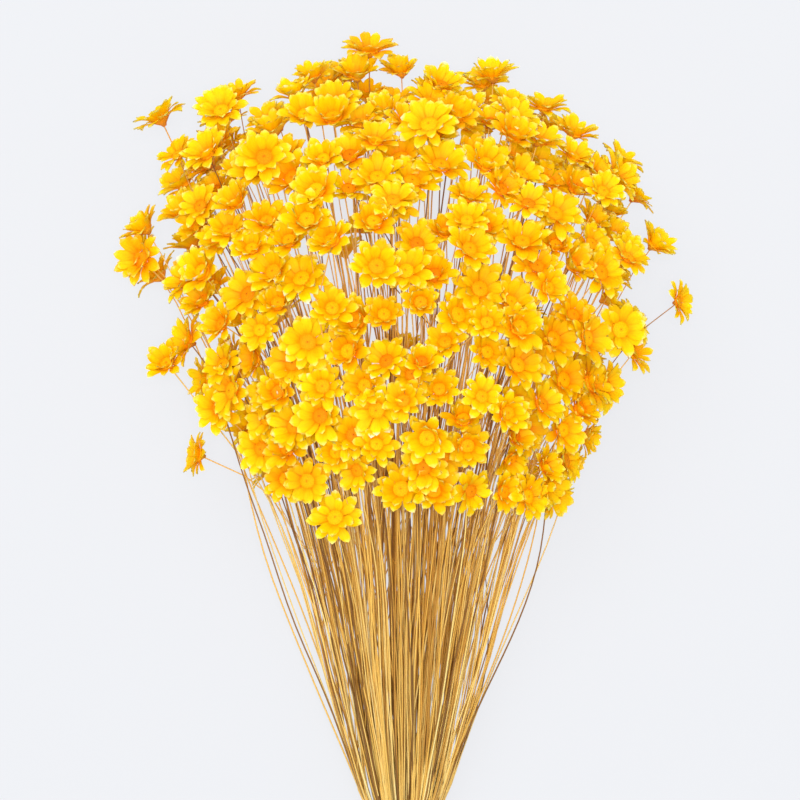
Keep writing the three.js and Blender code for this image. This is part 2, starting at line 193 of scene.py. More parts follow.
def gap_between(a, b, c, d):
    """The least distance between each line from a to b and each from c to d: the nearest point of the first
    as if endless, then of the second to it, then of the first to that, each kept between the ends."""
    u, v = b - a, d - c
    uu, vv, uv = (u * u).sum(-1)[..., None], (v * v).sum(-1), u @ v.T
    ur = (u * a).sum(-1)[..., None] - u @ c.T
    vr = a @ v.T - (v * c).sum(-1)
    rr = (a * a).sum(-1)[..., None] + (c * c).sum(-1) - 2 * (a @ c.T)
    s = np.minimum(np.maximum((uv * vr - ur * vv) / np.maximum(uu * vv - uv * uv, TINY), 0), 1)
    t = np.minimum(np.maximum((uv * s + vr) / vv, 0), 1)
    s = np.minimum(np.maximum((uv * t - ur) / uu, 0), 1)
    return np.sqrt(rr + s * (s * uu + 2 * (ur - t * uv)) + t * (t * vv - 2 * vr))


STEM = 0.7
STEM_GAP = 0.83
STEM_TRIES = 16
KNOTS = [26.0, 118.0]
MORE_KNOTS = [26.0, 100.0, 158.0]
STRAY = [8.0, 22.0, 12.0]
IN_CORE = 0.9
OUT_AT_CORE, OUT_ABOVE = 1.3, 1.2  # of the flow, at the first knot and at the others
LAST_RUN = 10
LEAPS = leaps(STEM_TRIES * 2 * (len(KNOTS) + len(MORE_KNOTS)))


def stem_paths(end, knots, chance):
    """The corners of STEM_TRIES stems to one end: on the flow at each knot, each straying a little more."""
    u, w = place_in_flow(end)
    out = hypot(u, w)
    share = np.array([IN_CORE / max(OUT_AT_CORE, out)] + [min(1, OUT_ABOVE / out)] * (len(knots) - 1))
    corners = np.repeat(flow(u * share, w * share, np.array(knots))[None], STEM_TRIES, 0)
    stray = np.arange(STEM_TRIES)[:, None] / STEM_TRIES * STRAY[: len(knots)]
    corners[..., 0] += stray * chance[..., 0]
    corners[..., 2] = np.maximum(corners[..., 2] + stray * chance[..., 1], STEM)
    u, w = place_in_flow(corners[:, 0])
    inside = np.minimum(1, IN_CORE / np.hypot(u, w))
    corners[:, 0] = flow(u * inside, w * inside, knots[0])
    kept = [k for k, y in enumerate(knots) if y < end[1] - LAST_RUN]
    return np.concatenate([corners[:, kept], np.broadcast_to(end, (STEM_TRIES, 1, 3))], 1)


HOLD = [8.6, 10.8]
APART_IN_CLUMP, APART, APART_ON_FLANK = 10.6, 11.6, 14.0
FLANK = 0.45
FOOT = 0.5
SEAT = 0.3
CLEAR = 0.15
PARTINGS = [16, 22, 30, 40, 52, 66]
BALLS_AT = np.array([[0.3], [-0.15]])  # the room of a head: balls along its facing, in radii
BALL_SIZES = np.array([0.8, 0.5])
BALL_MOST = 6.2
BATCHES = [(0, 1), (1, 5), (5, STEM_TRIES)]  # a stem's paths are tried in these, the straightest first


class Crown:
    """The heads laid so far, and what later stems have to pass: their stems' runs and two balls each."""

    def __init__(self):
        self.at, self.face, self.radius, self.open, self.spin = [], [], [], [], []
        self.clump, self.sizes, self.stem = [], [], []
        self.laid = np.zeros((0, 3))
        self.runs = np.zeros((0, 2, 3))
        self.run_box = np.zeros((0, 2, 3))
        self.run_of = np.zeros(0, int)
        self.balls = np.zeros((0, 3))
        self.reach = np.zeros(0)

    def holder(self, at, turn, most):
        """The nearest head, if it is at arm's length, its clump may grow, and no other is too near."""
        far = np.sqrt(((self.laid - at) ** 2).sum(1))
        nearest = int(far.argmin())
        if not HOLD[0] <= far[nearest] <= HOLD[1] or self.sizes[self.clump[nearest]] >= most:
            return None
        apart = APART_ON_FLANK if abs(sin(turn)) < FLANK else APART
        too_near = far < np.where(np.array(self.clump) == self.clump[nearest], APART_IN_CLUMP, apart)
        too_near[nearest] = False
        return None if too_near.any() else nearest

    def in_the_way(self, at, face, radius):
        """Whether one of the stems runs through a head here."""
        gaps = gap_to_points(self.runs[:, 0], self.runs[:, 1], at + BALLS_AT * radius * face)
        return (gaps < BALL_SIZES * radius + CLEAR).any()

    def lead_stem(self, end, key):
        """The first of the paths to this end that passes all balls and all runs of other stems, or None."""
        draws = (LEAPS[0] * np.uint64(key) + LEAPS[1]) % np.uint64(MODULUS) / MODULUS - 0.5
        first = STEM_TRIES * 2 * len(KNOTS)
        for knots, chance in ((KNOTS, draws[:first]), (MORE_KNOTS, draws[first:])):
            paths = stem_paths(end, knots, chance.reshape(STEM_TRIES, len(knots), 2))
            low, high = paths.min((0, 1)), paths.max((0, 1))
            near = ((self.run_box[:, 1] > low - STEM_GAP) & (self.run_box[:, 0] < high + STEM_GAP)).all(1)
            runs = self.runs[near]
            near = ((self.balls > low - BALL_MOST) & (self.balls < high + BALL_MOST)).all(1)
            balls, reach = self.balls[near], self.reach[near]
            for begin, stop in BATCHES:
                a, b = paths[begin:stop, :-1], paths[begin:stop, 1:]
                some = paths[begin:stop][(gap_to_points(a, b, balls) >= reach).all((1, 2))]
                gaps = gap_between(some[:, :-1], some[:, 1:], runs[:, 0], runs[:, 1])
                clear = (gaps > STEM_GAP).all((1, 2))
                if clear.any():
                    return some[clear.argmax()]
        return None

    def part_stem(self, end, parent):
        """The parent's stem up to its last run, and from there the highest clear way to this end, or None."""
        low, high = self.runs[self.run_of == parent][-1]
        length = np.linalg.norm(high - low)
        others = self.runs[self.run_of != parent]
        for down in PARTINGS:
            start = high + (low - high) * down / length
            if down >= length or start[1] >= end[1] - LAST_RUN:
                continue
            clear = (gap_to_points(start, end, self.balls) >= self.reach).all()
            if clear and (gap_between(start[None], end[None], others[:, 0], others[:, 1]) > STEM_GAP).all():
                return np.vstack([self.stem[parent][:-1], start, end])
        return None

    def keep(self, at, face, radius, opening, spin, holder, key):
        """Lays the head if a stem can be led to it or, with no key for that, can part from its holder's."""
        end = at - FOOT * radius * face - SEAT * face
        if self.in_the_way(at, face, radius):
            return
        stem = self.part_stem(end, holder) if key is None else self.lead_stem(end, key)
        if stem is None:
            return
        clump = len(self.sizes) if holder is None else self.clump[holder]
        if holder is None:
            self.sizes.append(0)
        self.sizes[clump] += 1
        self.at.append(at)
        self.face.append(face)
        self.radius.append(radius)
        self.open.append(opening)
        self.spin.append(spin)
        self.clump.append(clump)
        self.stem.append(stem)
        own = stem[-2:] if key is None else stem
        runs = np.stack([own[:-1], own[1:]], 1)
        self.runs = np.concatenate([self.runs, runs])
        self.run_box = np.concatenate([self.run_box, np.stack([runs.min(1), runs.max(1)], 1)])
        self.run_of = np.append(self.run_of, np.full(len(runs), len(self.laid)))
        self.laid = np.array(self.at)
        self.balls = np.concatenate([self.balls, at + BALLS_AT * radius * face])
        self.reach = np.append(self.reach, BALL_SIZES * radius + CLEAR)


TRIES = 160000
CLUMP_TRIES = 12000
CLUMPS = 58
CLUMP_GAP, CLUMP_GAP_BELOW = 23.0, 42.0
CLUMP_SIZE, CLUMP_SIZE_BELOW = 10, 3
BELOW = -0.05
OUT_OF_TURN = 0.2
MORE_TRIES = 60000
MORE_HEADS = 40
MORE_TURN = [pi / 6, 5 * pi / 6]
MORE_APART = 8.4
MORE_CLUMP_SIZE = 16
LOOSE = [  # heads that stand out of the outline: middle, width, opening from 0 to 1, and facing
    (-78, 244, 62, 14.6, 0.9, -0.5, 0.85, -0.1),
    (-76, 166, 62, 12.2, 0.2, -0.45, 0.55, 0.7),
    (-67, 136, 50, 12.0, 0.8, -0.95, 0.15, 0.1),
    (-85, 199, 58, 14.0, 0.5, -0.6, 0.15, 0.75),
    (-59, 151, 66, 13.2, 0.6, -0.3, 0.05, 0.95),
    (-29, 257, 66, 11.8, 0.6, -0.25, 0.95, 0.15),
    (-17, 259, 52, 12.2, 0.3, 0.1, 0.97, 0.15),
    (-11, 266, 62, 14.4, 0.9, 0.0, 0.97, 0.2),
    (12, 254, 70, 12.6, 0.5, 0.25, 0.8, 0.45),
    (28, 258, 58, 13.0, 0.4, -0.15, 0.97, 0.15),
    (45, 248, 56, 12.8, 0.9, 0.1, 0.97, 0.1),
    (54, 239, 66, 12.6, 0.6, 0.3, 0.9, 0.2),
    (70, 231, 54, 12.2, 0.8, 0.5, 0.8, 0.1),
    (89, 185, 52, 10.6, 0.8, 0.85, 0.1, 0.25),
    (69, 176, 68, 14.2, 1.0, 0.35, 0.1, 0.95),
    (55, 151, 60, 12.6, 0.7, 0.5, 0.1, 0.8),
    (-22, 117, 68, 13.2, 0.9, -0.1, 0.35, 0.9),
    (-31, 128, 68, 12.6, 1.0, -0.25, 0.0, 0.95),
    (12, 136, 74, 13.0, 0.9, 0.1, -0.1, 0.98),
    (-46, 138, 64, 12.2, 0.8, -0.4, 0.0, 0.9),
    (-38, 190, 4.8, 12.6, 0.7, -0.35, 0.8, -0.1),
    (40, 184, 4.8, 12.6, 0.7, 0.35, 0.8, -0.1),
]


def lay_heads():
    """The loose heads, then those that are thrown from the crown's lower edge to its top, then those that
    fill the gaps of the upper side, with stems that run with their neighbours'."""
    draw = seeded(SEED)
    crown = Crown()
    for i, (x, y, z, size, opening, *face) in enumerate(LOOSE):
        middle = np.array([x, y, z], float)
        crown.keep(middle, unit(np.array(face)), size / 2, opening, draw() * tau, None, i)
    for i in range(TRIES):
        starts = i < CLUMP_TRIES
        progress = (i - CLUMP_TRIES) / (TRIES - CLUMP_TRIES) + OUT_OF_TURN * (draw() - 0.5)
        way = draw() if starts else min(1, max(0, progress))
        turn = draw() * tau
        at, radius = thrown(way, turn, draw)
        below = sin(turn) < BELOW
        holder = None
        if starts:
            least = np.sqrt(((crown.laid - at) ** 2).sum(1).min())
            if len(crown.sizes) >= CLUMPS or least < (CLUMP_GAP_BELOW if below else CLUMP_GAP):
                continue
        else:
            holder = crown.holder(at, turn, CLUMP_SIZE_BELOW if below else CLUMP_SIZE)
            if holder is None:
                continue
        face = head_face(at, draw)
        opening = draw()
        crown.keep(at, face, radius, opening, draw() * tau, holder, (i + 1) * KEY_STEP % MODULUS)
    most = len(crown.at) + MORE_HEADS
    for i in range(MORE_TRIES):
        if len(crown.at) >= most:
            break
        way = draw()
        turn = MORE_TURN[0] + (MORE_TURN[1] - MORE_TURN[0]) * draw()
        at, radius = thrown(way, turn, draw)
        holder = crown.holder(at, turn, MORE_CLUMP_SIZE)
        upper = crown.laid[:, 2] > axis_height(crown.laid[:, 1])
        if holder is None or (np.hypot(*(crown.laid[upper] - at).T[:2]) < MORE_APART).any():
            continue
        face = head_face(at, draw)
        opening = draw()
        crown.keep(at, face, radius, opening, draw() * tau, holder, None)
    return crown


crown = lay_heads()
at, face = np.array(crown.at), np.array(crown.face)
radius, opening = np.array(crown.radius), np.array(crown.open)
foot = at - FOOT * radius[:, None] * face


# The stems: thin, hard, straw-like and leafless, each one bending a little its own way. Below the tie they
# spread again and end where they were cut. Between those that carry a head are thinner ones that broke off,
# and their bare tips stand among the flowers.
STEM_WIDTH = [0.5, 0.74]
STEM_SIDES = 6
STEM_STEPS = 30
TAPER = 0.42
SUNK = 0.25
BARE_STEMS = 170
BARE_TOP = [112, 240]
BARE_LOW = 1.6  # the higher, the more of them end low
BARE_STRAY = [[0, 0, 0], [4, 0, 2], [9, 0, 4]]
BARE_WIDTH = 0.85
WAVE = 0.6
WAVE_LENGTH = [50, 130]
FREE_FROM = 10
FREE_IN, FREE_OUT = 60, 20
CUT_AT = [-TAIL - 4, -TAIL + 5]
IN_TIE = [-26.0, -5.0, 5.0, KNOTS[0]]
PACKED = 1.3
CROSSING = 0.08
STEM_TONES = 0.5, 0.28  # their mean and how far they spread
LEAST_TONE = 0.02
SHARP = 1.4  # radians
NO_LINE = [0.05, 0.1, 1.0]  # a way that no line runs, to find a side square to it
chance = np.random.default_rng(SEED)


def to_frame(points):
    """From millimetres from the tie to metres in the frame."""
    return points / 1000 + TIE_IN_FRAME


def make_object(name, parts, replaces):
    """One mesh of four-cornered faces from parts: points, faces, each point's uv and tone, and material."""
    mesh = bpy.data.meshes.new(name)
    starts = np.cumsum([0] + [part[0].size // 3 for part in parts])
    points = np.concatenate([part[0].reshape(-1, 3) for part in parts])
    quads = np.concatenate([part[1].reshape(-1, 4) + start for part, start in zip(parts, starts)])
    uv = np.concatenate([part[2].reshape(-1, 2) for part in parts])
    mesh.vertices.add(len(points))
    mesh.vertices.foreach_set("co", to_frame(points).astype(np.float32).ravel())
    mesh.loops.add(quads.size)
    mesh.loops.foreach_set("vertex_index", quads.astype(np.int32).ravel())
    mesh.polygons.add(len(quads))
    mesh.polygons.foreach_set("loop_start", np.arange(0, quads.size, 4, dtype=np.int32))
    mesh.polygons.foreach_set("loop_total", np.full(len(quads), 4, np.int32))
    mesh.polygons.foreach_set("use_smooth", np.ones(len(quads), bool))
    numbers = [np.full(part[1].size // 4, k, np.int32) for k, part in enumerate(parts)]
    mesh.polygons.foreach_set("material_index", np.concatenate(numbers))
    layer = mesh.uv_layers.new(name="along")
    layer.data.foreach_set("uv", uv[quads.ravel()].astype(np.float32).ravel())
    shade = mesh.attributes.new("tone", "FLOAT", "POINT")
    shade.data.foreach_set("value", np.concatenate([part[3].ravel() for part in parts]).astype(np.float32))
    for part in parts:
        mesh.materials.append(part[4])
    mesh.update(calc_edges=True)
    mesh.set_sharp_from_angle(angle=SHARP)
    mesh.validate()
    made = bpy.data.objects.new(name, mesh)
    bpy.context.scene.collection.objects.link(made)
    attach(made, "root")
    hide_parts(*replaces)
    return made


def ease(t_knots, values, t):
    """Smooth curves through values at t_knots, one in each row, that never overshoot: cubic pieces whose
    slope at a knot is the harmonic mean of the slopes beside it, or 0 where those point apart."""
    step = np.diff(t_knots, axis=1)
    slope = np.diff(values, axis=1) / step
    same = slope[:, :-1] * slope[:, 1:] > 0
    total = np.where(same, slope[:, :-1] + slope[:, 1:], 1)
    inner = np.where(same, 2 * slope[:, :-1] * slope[:, 1:] / total, 0)
    tangent = np.concatenate([slope[:, :1], inner, slope[:, -1:]], 1)
    k = np.clip((t[:, :, None] >= t_knots[:, None, 1:-1]).sum(2), 0, step.shape[1] - 1)
    start, end, h, left, right = (
        np.take_along_axis(row, number, 1)
        for row, number in ((values, k), (values, k + 1), (step, k), (tangent, k), (tangent, k + 1))
    )
    s = (t - np.take_along_axis(t_knots, k, 1)) / h
    bow = h * s * (1 - s) * (left * (1 - s) - right * s)
    return start * (1 + 2 * s) * (1 - s) ** 2 + end * s * s * (3 - 2 * s) + bow


def ring_quads(steps, sides):
    """Four-cornered faces between rings of points, and round the point at each end, which follow them."""
    k, n = np.meshgrid(np.arange(steps - 1), np.arange(sides), indexing="ij")
    a, b = k * sides + n, k * sides + (n + 1) % sides
    wall = np.stack([a, b, b + sides, a + sides], -1).reshape(-1, 4)
    n = np.arange(0, sides, 2)
    first, last, top = steps * sides, steps * sides + 1, (steps - 1) * sides
    low = np.stack([np.full(len(n), first), (n + 2) % sides, n + 1, n], -1)
    high = np.stack([np.full(len(n), last), top + n, top + n + 1, top + (n + 2) % sides], -1)
    return np.concatenate([wall, low, high])


def tubes(lines, widths, sides):
    """Closed tubes along lines: at each point of a line a ring of the given radius, square to the line, and
    a point at each end. Gives points, four-cornered faces, and (round, along) for each point."""
    count, steps = lines.shape[:2]
    along = unit(np.gradient(lines, axis=1))
    side = unit(np.cross(NO_LINE, along))
    other = np.cross(along, side)
    turn = np.arange(sides) / sides * tau
    ring = side[:, :, None] * np.cos(turn)[:, None] + other[:, :, None] * np.sin(turn)[:, None]
    rings = lines[:, :, None] + widths[:, :, None, None] * ring
    points = np.concatenate([rings.reshape(count, -1, 3), lines[:, [0, -1]]], 1)
    quads = ring_quads(steps, sides) + np.arange(count)[:, None, None] * points.shape[1]
    u = np.concatenate([np.tile(turn / tau, steps), [0, 0]])
    v = np.concatenate([np.repeat(np.arange(steps) / (steps - 1), sides), [0, 1]])
    return points, quads, np.broadcast_to(np.stack([u, v], -1), (count, len(u), 2))


def stem_lines(ends):
    """A line for each stem: from its cut end along the flow through the tie, where the stems are packed to
    fill it and cross each other a little, through its corners and to its head, eased, and waving where it
    is free."""
    lines = np.zeros((len(ends), STEM_STEPS, 3))
    counts = np.array([len(corners) for corners in ends])
    cut = CUT_AT[0] + (CUT_AT[1] - CUT_AT[0]) * chance.random(len(ends))
    for count in np.unique(counts):
        rows = np.nonzero(counts == count)[0]
        corners = np.array([ends[i] for i in rows])
        inside = np.stack(place_in_flow(corners[:, 0]), -1) * PACKED
        inside += CROSSING * chance.normal(size=inside.shape)
        inside /= np.maximum(1, np.linalg.norm(inside, axis=-1, keepdims=True))
        lower = np.concatenate([cut[rows, None], np.broadcast_to(IN_TIE, (len(rows), len(IN_TIE)))], 1)
        knots = np.concatenate([flow(inside[:, :1], inside[:, 1:], lower), corners[:, 1:]], 1)
        share = np.linspace(0, 1, STEM_STEPS)
        y = knots[:, :1, 1] + (knots[:, -1:, 1] - knots[:, :1, 1]) * share
        lines[rows, :, 0] = ease(knots[..., 1], knots[..., 0], y)
        lines[rows, :, 1] = y
        lines[rows, :, 2] = ease(knots[..., 1], knots[..., 2], y)
    y = lines[..., 1]
    free = np.clip((y - FREE_FROM) / FREE_IN, 0, 1) * np.clip((y[:, -1:] - y) / FREE_OUT, 0, 1)
    for axis in (0, 2):
        length = WAVE_LENGTH[0] + (WAVE_LENGTH[1] - WAVE_LENGTH[0]) * chance.random((len(ends), 1))
        phase = tau * chance.random((len(ends), 1))
        lines[..., axis] += WAVE * free * np.sin(tau * y / length + phase)
    return lines


def bare_ends():
    """The corners of the stems without a head: anywhere in the bundle, straying, up to a broken tip."""
    ends = []
    for _ in range(BARE_STEMS):
        r, turn = IN_CORE * sqrt(chance.random()), tau * chance.random()
        u, w = r * cos(turn), r * sin(turn)
        top = BARE_TOP[0] + (BARE_TOP[1] - BARE_TOP[0]) * chance.random() ** BARE_LOW
        y = np.array([KNOTS[0], (KNOTS[0] + top) / 2, top])
        ends.append(flow(u, w, y) + chance.normal(size=(3, 3)) * BARE_STRAY)
    return ends


class Finish:
    """A dull natural skin: its colour is a product of colour ramps, each read along a pattern."""

    def __init__(self, name, roughness):
        self.material = bpy.data.materials.new(name)
        self.material.use_nodes = True
        self.link = self.material.node_tree.links.new
        self.shader = self.material.node_tree.nodes["Principled BSDF"].inputs
        self.shader["Roughness"].default_value = roughness
        self.colour = None

    def node(self, kind, source=None):
        """A new node, which reads the source if there is one."""
        made = self.material.node_tree.nodes.new("ShaderNode" + kind)
        if source:
            self.link(source, made.inputs[0])
        return made

    def place(self):
        """Where a point is on the object, in metres."""
        return self.node("TexCoord").outputs["Object"]

    def skin(self):
        """Where a point is on its piece: how far round it or across it, and how far along it."""
        uv = self.node("UVMap")
        uv.uv_map = "along"
        return uv.outputs["UV"]

    def length(self):
        """How far along its piece a point is, from 0 to 1."""
        return self.node("SeparateXYZ", self.skin()).outputs["Y"]

    def tone(self):
        """The number that each stem, petal and disc has for its own shade."""
        tone = self.node("Attribute")
        tone.attribute_name = "tone"
        return tone.outputs["Fac"]

    def noise(self, where, fineness, detail=2, turn=0.0):
        """Noise over these places, as fine along each axis as fineness says, and turned about Z."""
        mapping = self.node("Mapping", where)
        mapping.inputs["Scale"].default_value = fineness
        mapping.inputs["Rotation"].default_value = (0, 0, turn)
        noise = self.node("TexNoise", mapping.outputs[0])
        noise.inputs["Scale"].default_value = 1
        noise.inputs["Detail"].default_value = detail
        return noise.outputs["Fac"]

    def shade(self, pattern, *stops):
        """Multiplies the colour by a ramp along the pattern, whose stops are (place, colour)."""
        ramp = self.node("ValToRGB", pattern)
        elements = ramp.color_ramp.elements
        while len(elements) < len(stops):
            elements.new(1.0)
        for element, (place, colour) in zip(elements, stops):
            element.position = place
            element.color = (*colour, 1)
        shades = ramp.outputs[0]
        if self.colour:
            mix = self.node("Mix")
            mix.data_type, mix.blend_type = "RGBA", "MULTIPLY"
            mix.inputs["Factor"].default_value = 1
            self.link(self.colour, mix.inputs["A"])
            self.link(shades, mix.inputs["B"])
            shades = mix.outputs["Result"]
        self.colour = shades
        self.link(self.colour, self.shader["Base Color"])

    def grain(self, pattern, strength, depth):
        """Raises the skin with the pattern, as a bump of this strength and depth in metres."""
        bump = self.node("Bump")
        bump.inputs["Strength"].default_value = strength
        bump.inputs["Distance"].default_value = depth
        self.link(pattern, bump.inputs["Height"])
        self.link(bump.outputs[0], self.shader["Normal"])


def straw():
    """Straw: golden, darker and browner on some stems and at the tied end, more orange up by the heads,
    with fine streaks along it."""
    finish = Finish("straw", roughness=0.5)
    browns = [(0.0, (0.2, 0.09, 0.016)), (0.2, (0.56, 0.29, 0.045))]
    finish.shade(finish.tone(), *browns, (0.5, (0.92, 0.6, 0.135)), (1.0, (1.0, 0.86, 0.4)))
    foot = [(0.0, (1, 0.98, 0.9)), (0.03, (0.72, 0.72, 0.74)), (0.3, (0.98, 0.98, 0.98))]
    finish.shade(finish.length(), *foot, (0.6, (1.04, 0.95, 0.74)), (1.0, (1, 0.84, 0.5)))
    streaks = finish.noise(finish.place(), (9000, 260, 9000), detail=3)
    finish.shade(streaks, (0.3, (0.72, 0.68, 0.62)), (0.7, (1.12, 1.12, 1.12)))
    finish.grain(streaks, strength=0.3, depth=0.00005)
    return finish.material


sunk = foot + SUNK * radius[:, None] * face
stem_ends = [np.vstack([corners, end]) for corners, end in zip(crown.stem, sunk)]
lines = stem_lines(stem_ends + bare_ends())
wide = STEM_WIDTH[0] + (STEM_WIDTH[1] - STEM_WIDTH[0]) * chance.random(len(lines))
wide[len(stem_ends) :] *= BARE_WIDTH
widths = wide[:, None] / 2 * (1 - TAPER * np.linspace(0, 1, STEM_STEPS))
tones = np.clip(chance.normal(*STEM_TONES, len(lines)), LEAST_TONE, 1)
points, quads, uv = tubes(lines, widths, STEM_SIDES)
points[..., 2] = np.maximum(points[..., 2], 0)
tones = np.repeat(tones, points.shape[1])
make_object("straw_stems", [(points, quads, uv, tones, straw())], ["stems"])


# The heads: on each stem one small papery star. A smooth cone of tight scales carries two rings of dry
# petals, the outer one more spread and the inner one more upright, round a low disc. The youngest are cups,
# the oldest stars.
RINGS = [  # petals; seat out, seat up, length, width in radii; slopes at base and tip, of cup and star
    (10, 0.30, 0.21, 0.88, 0.23, (52, 24), (34, -14)),
    (9, 0.28, 0.28, 0.78, 0.21, (70, 42), (70, 14)),
]
UPPER_SEAT = 0.25
ACROSS, ALONG = 4, 6
CLOSER_STEPS = 1.15
LEAST_BEND = 0.02
THICK = 0.08
RIM_THICK = 0.25
TROUGH, HOLLOW = 0.24, 1.5
FRILL = 0.035
FRILL_WAVES = 9, 4, 6  # along, across, and by chance
FULLER = 1.15  # than the room that a head was given
LIFT = 0.25
NO_FACE = [0.3, 0.2, -1.0]  # a way that no head faces
UNEVEN = {  # how far a petal may differ: slopes in degrees, turn in radians, the others in shares
    "opening": 0.12,
    "base": 7,
    "tip": 24,
    "turn": 0.11,
    "size": 0.12,
    "width": 0.1,
    "trough": 0.14,
    "skew": 0.13,
}
NARROW, SWELL = 0.42, 0.58
BROAD_AT, SWELL_LATE = 0.62, 1.4
TIP_FROM, TIP_LENGTH = 0.55, 0.45
TIP_FULL, TIP_BLUNT = 2.4, 0.68


def petal_outline(v):
    """Half the petal's width at v, from its base (0) to its tip (1): it swells as a power of a sine until
    BROAD_AT, and from TIP_FROM it closes in a rounded point, as a power of what a power leaves of 1."""
    grow = NARROW + SWELL * np.sin(np.clip(v / BROAD_AT, 0, 1) * pi / 2) ** SWELL_LATE
    close = np.clip((v - TIP_FROM) / TIP_LENGTH, 0, 1) ** TIP_FULL
    return grow * np.clip(1 - close, 0, 1) ** TIP_BLUNT


def petals(foot, face, side, radius, opening):
    """All petals of all heads, as grids of points over u (across, -1 to 1) and v (along, 0 to 1). A petal's
    midline leaves its seat on an arc whose slope changes evenly from base to tip; across it the petal is a
    shallow trough; and both skins bulge by THICK and meet at the rim. Gives points, uv and a tone for each
    point."""
    other = np.cross(face, side)
    heads = len(foot)
    u, v = np.meshgrid(np.linspace(-1, 1, ACROSS + 1), np.linspace(0, 1, ALONG + 1), indexing="ij")
    v = 1 - (1 - v) ** CLOSER_STEPS
    grids, uvs, tones = [], [], []
    head_tone = chance.random(heads)
    for number, seat_out, seat_up, length, width, base, tip in RINGS:
        shape = (heads, number)

        def slack(what):
            return UNEVEN[what] * (2 * chance.random(shape) - 1)

        o = np.clip(opening[:, None] + slack("opening"), 0, 1)
        e0 = np.radians(base[0] + (base[1] - base[0]) * o + slack("base"))
        e1 = np.radians(tip[0] + (tip[1] - tip[0]) * o + slack("tip"))
        turn = (np.arange(number) + 0.5 * (seat_up > UPPER_SEAT)) / number * tau + slack("turn")
        size = radius[:, None] * (1 + slack("size"))
        bend = np.where(np.abs(e1 - e0) < LEAST_BEND, LEAST_BEND, e1 - e0)[..., None, None]
        e0, turn, size = e0[..., None, None], turn[..., None, None], size[..., None, None]
        half = width * size * (1 + slack("width"))[..., None, None] * petal_outline(v)
        slope = e0 + bend * v
        out = seat_out * size + length * size * (np.sin(slope) - np.sin(e0)) / bend
        up = seat_up * size + length * size * (np.cos(e0) - np.cos(slope)) / bend
        trough = (TROUGH + slack("trough"))[..., None, None] * half * (np.abs(u) ** HOLLOW)
        waves = FRILL_WAVES[0] * v + FRILL_WAVES[1] * u
        waves = waves + FRILL_WAVES[2] * chance.random(shape)[..., None, None]
        lift = trough + FRILL * size * np.sin(waves) * v
        across = u * half + slack("skew")[..., None, None] * size * v**2
        out = out - np.sin(slope) * lift
        up = up + np.cos(slope) * lift
        x = out * np.cos(turn) - across * np.sin(turn)
        y = out * np.sin(turn) + across * np.cos(turn)
        at = [a[:, None, None, None] for a in (foot, side, other, face)]
        lower = at[0] + x[..., None] * at[1] + y[..., None] * at[2] + up[..., None] * at[3]
        inward = unit(np.cross(np.gradient(lower, axis=3), np.gradient(lower, axis=2)))
        bulge = (1 - u**2) * np.clip(4 * v * (1 - v) + RIM_THICK, 0, 1)
        upper = (lower + (THICK * bulge)[..., None] * inward)[:, :, 1:-1, 1:-1]
        flat = (heads, number, -1)
        grids.append(np.concatenate([lower.reshape(*flat, 3), upper.reshape(*flat, 3)], 2))
        plain = np.stack(np.broadcast_arrays((u + 1) / 2, v), -1)
        plain = np.concatenate([plain.reshape(-1, 2), plain[1:-1, 1:-1].reshape(-1, 2)])
        uvs.append(np.broadcast_to(plain, (heads, number, *plain.shape)))
        tone = (head_tone[:, None] + chance.random(shape)) / 2
        tones.append(np.broadcast_to(tone[..., None], (heads, number, len(plain))))
    return [np.concatenate(a, 1) for a in (grids, uvs, tones)]


def grid_quads(numbers):
    """Four-cornered faces between the neighbours in a grid of point numbers."""
    a, b, c, d = numbers[:-1, :-1], numbers[1:, :-1], numbers[1:, 1:], numbers[:-1, 1:]
    return np.stack([a, b, c, d], -1).reshape(-1, 4)


def petal_quads():
    """Faces of a petal: its lower skin, and its upper one turned round, which shares the lower one's rim."""
    rows, columns = ACROSS + 1, ALONG + 1
    lower = np.arange(rows * columns).reshape(rows, columns)
    upper = lower.copy()
    upper[1:-1, 1:-1] = rows * columns + np.arange((rows - 2) * (columns - 2)).reshape(rows - 2, -1)
    return np.concatenate([grid_quads(lower), grid_quads(upper)[:, ::-1]])


HEART = [  # out and up in radii: the cone of scales from the stem to its rim, and the disc on it
    (0.07, -0.05), (0.13, 0.05), (0.24, 0.14), (0.33, 0.22), (0.36, 0.30),
    (0.33, 0.33), (0.25, 0.36), (0.13, 0.38), (0.03, 0.375),
]
HEART_TOP = 0.37
HEART_SIDES = 10
SCALES = 0.06
SCALE_ROWS = 5


def hearts(foot, face, side, radius):
    """The cone and disc of each head: the HEART profile turned round its facing, with every other corner of
    the cone standing out by SCALES as its overlapping scales do."""
    heads, steps = len(foot), len(HEART)
    turn = np.arange(HEART_SIDES) / HEART_SIDES * tau
    profile = np.array(HEART) * radius[:, None, None]
    ribs = np.where(np.arange(HEART_SIDES) % 2, 1, -1) * (np.arange(steps) < SCALE_ROWS)[:, None]
    out = profile[:, :, None, 0] * (1 + SCALES * ribs)
    other = np.cross(face, side)
    at = [a[:, None, None] for a in (foot, side, other, face)]
    rings = at[0] + (out * np.cos(turn))[..., None] * at[1] + (out * np.sin(turn))[..., None] * at[2]
    rings = rings + profile[:, :, None, 1:] * at[3]
    ends = foot[:, None] + radius[:, None, None] * np.array([[HEART[0][1]], [HEART_TOP]]) * face[:, None]
    points = np.concatenate([rings.reshape(heads, -1, 3), ends], 1)
    v = np.concatenate([np.repeat(np.arange(steps) / steps, HEART_SIDES), [0, 1]])
    u = np.concatenate([np.tile(turn / tau, steps), [0, 0]])
    return points, ring_quads(steps, HEART_SIDES), np.stack([u, v], -1)


